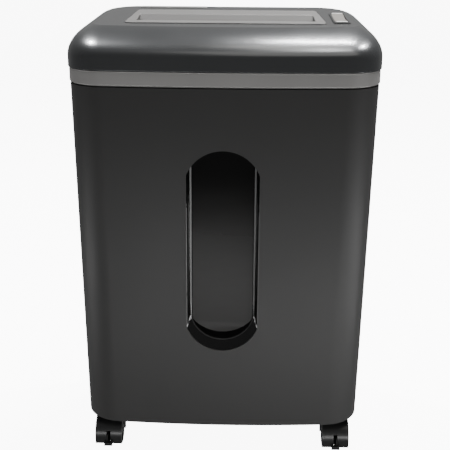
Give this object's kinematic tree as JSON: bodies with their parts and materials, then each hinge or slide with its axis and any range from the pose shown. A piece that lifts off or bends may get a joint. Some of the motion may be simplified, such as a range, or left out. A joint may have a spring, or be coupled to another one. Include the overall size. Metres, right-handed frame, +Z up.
{
  "type": "paper shredder",
  "caption": "Cross-cut paper shredder with a top feed slot, a geared twin-shaft cutter in the head, a windowed pull-out waste bin and a tapered case on twin-wheel casters",
  "frame": {"origin": "on the floor, under the middle of the whole shredder's box", "axes": "+X to the right of someone facing the front, -Y out of the front, +Z up"},
  "size_m": [0.384, 0.262, 0.5825],
  "materials": {
    "case": "fine matte texture, dark grey",
    "lid": "satin metallic gunmetal",
    "band": "satin silver grey",
    "throat": "light grey satin",
    "label": "brushed, blank",
    "bezel": "satin grey",
    "rocker": "warm grey",
    "smoked": "glossy smoked",
    "bin": "dark grey moulded",
    "black": "black moulded",
    "base": "black moulded",
    "caster": "black moulded",
    "wheel": "black nylon",
    "steel": "zinc plated",
    "cutter": "hardened, ground",
    "comb": "grey moulded",
    "bronze": "sintered",
    "gear_nylon": "natural nylon",
    "plunger": "natural nylon",
    "motor": "laminated steel, lacquered",
    "rotor": "steel with copper windings",
    "board": "green laminate with parts"
  },
  "bodies": {
    "chassis": {"cabinet_shell": "case", "base_plate": "base", "bin_rails": "steel", "top_frame": "steel", "band_ring": "band", "head_tray": "black", "head_cover": "lid", "throat_plate": "throat", "label_plate": "label", "switch_bezel": "bezel", "feed_guides": "steel", "side_plate_left": "steel", "side_plate_right": "steel", "tie_rods": "steel", "shaft_bushes": "bronze", "comb_front": "comb", "comb_rear": "comb", "motor_stator": "motor", "motor_brackets": "steel", "gear_studs": "steel", "gear_plate": "steel", "control_board": "board", "safety_switch": "black", "cord_gland": "black", "case_screws": "steel", "caster_stems": "steel"},
    "drawer": {"front_panel": "case", "window_insert": "smoked", "waste_bucket": "bin", "panel_screws": "steel"},
    "rocker": {"mode_rocker": "rocker"},
    "plunger": {"interlock_plunger": "plunger"},
    "sensor": {"sensor_lever": "black"},
    "cutter_a": {"cutter_shaft_a": "cutter", "cutter_discs_a": "cutter", "timing_gear_a": "cutter"},
    "cutter_b": {"cutter_shaft_b": "cutter", "cutter_discs_b": "cutter", "timing_gear_b": "cutter", "drive_gear": "cutter"},
    "idler_2": {"idler_gear_2": "gear_nylon"},
    "idler_1": {"idler_gear_1": "gear_nylon"},
    "motor": {"motor_rotor": "rotor", "motor_pinion": "cutter", "cooling_fan": "black"},
    "caster_fl": {"caster_housing_fl": "caster", "caster_axle_fl": "steel"},
    "wheels_fl": {"caster_wheels_fl": "wheel"},
    "brake_fl": {"brake_lever_fl": "caster"},
    "caster_fr": {"caster_housing_fr": "caster", "caster_axle_fr": "steel"},
    "wheels_fr": {"caster_wheels_fr": "wheel"},
    "brake_fr": {"brake_lever_fr": "caster"},
    "caster_rl": {"caster_housing_rl": "caster", "caster_axle_rl": "steel"},
    "wheels_rl": {"caster_wheels_rl": "wheel"},
    "caster_rr": {"caster_housing_rr": "caster", "caster_axle_rr": "steel"},
    "wheels_rr": {"caster_wheels_rr": "wheel"}
  },
  "joints": [
    {"name": "drawer_slide", "type": "slide", "parent": "chassis", "child": "drawer", "axis": [0, -1, 0], "range_m": [0, 0.18]},
    {"name": "plunger_slide", "type": "slide", "parent": "chassis", "child": "plunger", "axis": [0, 0, -1], "range_m": [0, 0.004]},
    {"name": "mode_rock", "type": "hinge", "parent": "chassis", "child": "rocker", "pos_m": [0.146, -0.00054, 0.56863], "axis": [1, 0, 0], "range_deg": [-5, 5]},
    {"name": "sensor_swing", "type": "hinge", "parent": "chassis", "child": "sensor", "pos_m": [0, 0.01, 0.535], "axis": [1, 0, 0], "range_deg": [0, 25], "stiffness_Nm_per_rad": 0.01},
    {"name": "cutter_a_spin", "type": "hinge", "parent": "chassis", "child": "cutter_a", "pos_m": [0, -0.021, 0.478], "axis": [1, 0, 0], "continuous": true},
    {"name": "cutter_b_spin", "type": "hinge", "parent": "chassis", "child": "cutter_b", "pos_m": [0, 0.013, 0.478], "axis": [1, 0, 0], "continuous": true},
    {"name": "idler_2_spin", "type": "hinge", "parent": "chassis", "child": "idler_2", "pos_m": [0, 0.04219, 0.51291], "axis": [1, 0, 0], "continuous": true},
    {"name": "idler_1_spin", "type": "hinge", "parent": "chassis", "child": "idler_1", "pos_m": [0, 0.07508, 0.50094], "axis": [1, 0, 0], "continuous": true},
    {"name": "motor_spin", "type": "hinge", "parent": "chassis", "child": "motor", "pos_m": [0, 0.07799, 0.47409], "axis": [1, 0, 0], "continuous": true},
    {"name": "caster_swivel_fl", "type": "hinge", "parent": "chassis", "child": "caster_fl", "pos_m": [-0.154, -0.065, 0.045], "axis": [0, 0, 1], "continuous": true},
    {"name": "caster_roll_fl", "type": "hinge", "parent": "caster_fl", "child": "wheels_fl", "pos_m": [-0.154, -0.079, 0.02], "axis": [1, 0, 0], "continuous": true},
    {"name": "brake_fl_press", "type": "hinge", "parent": "caster_fl", "child": "brake_fl", "pos_m": [-0.154, -0.079, 0.02], "axis": [1, 0, 0], "range_deg": [0, 15]},
    {"name": "caster_swivel_fr", "type": "hinge", "parent": "chassis", "child": "caster_fr", "pos_m": [0.154, -0.065, 0.045], "axis": [0, 0, 1], "continuous": true},
    {"name": "caster_roll_fr", "type": "hinge", "parent": "caster_fr", "child": "wheels_fr", "pos_m": [0.154, -0.079, 0.02], "axis": [1, 0, 0], "continuous": true},
    {"name": "brake_fr_press", "type": "hinge", "parent": "caster_fr", "child": "brake_fr", "pos_m": [0.154, -0.079, 0.02], "axis": [1, 0, 0], "range_deg": [0, 15]},
    {"name": "caster_swivel_rl", "type": "hinge", "parent": "chassis", "child": "caster_rl", "pos_m": [-0.154, 0.088, 0.045], "axis": [0, 0, 1], "continuous": true},
    {"name": "caster_roll_rl", "type": "hinge", "parent": "caster_rl", "child": "wheels_rl", "pos_m": [-0.154, 0.074, 0.02], "axis": [1, 0, 0], "continuous": true},
    {"name": "caster_swivel_rr", "type": "hinge", "parent": "chassis", "child": "caster_rr", "pos_m": [0.154, 0.088, 0.045], "axis": [0, 0, 1], "continuous": true},
    {"name": "caster_roll_rr", "type": "hinge", "parent": "caster_rr", "child": "wheels_rr", "pos_m": [0.154, 0.074, 0.02], "axis": [1, 0, 0], "continuous": true}
  ],
  "couplings": [
    {"joint": "cutter_b_spin", "follows": "cutter_a_spin", "ratio": -1},
    {"joint": "idler_2_spin", "follows": "cutter_a_spin", "ratio": 3.3333},
    {"joint": "idler_1_spin", "follows": "cutter_a_spin", "ratio": -12.222},
    {"joint": "motor_spin", "follows": "cutter_a_spin", "ratio": 42.778},
    {"joint": "plunger_slide", "follows": "drawer_slide", "ratio": 0.022222}
  ]
}
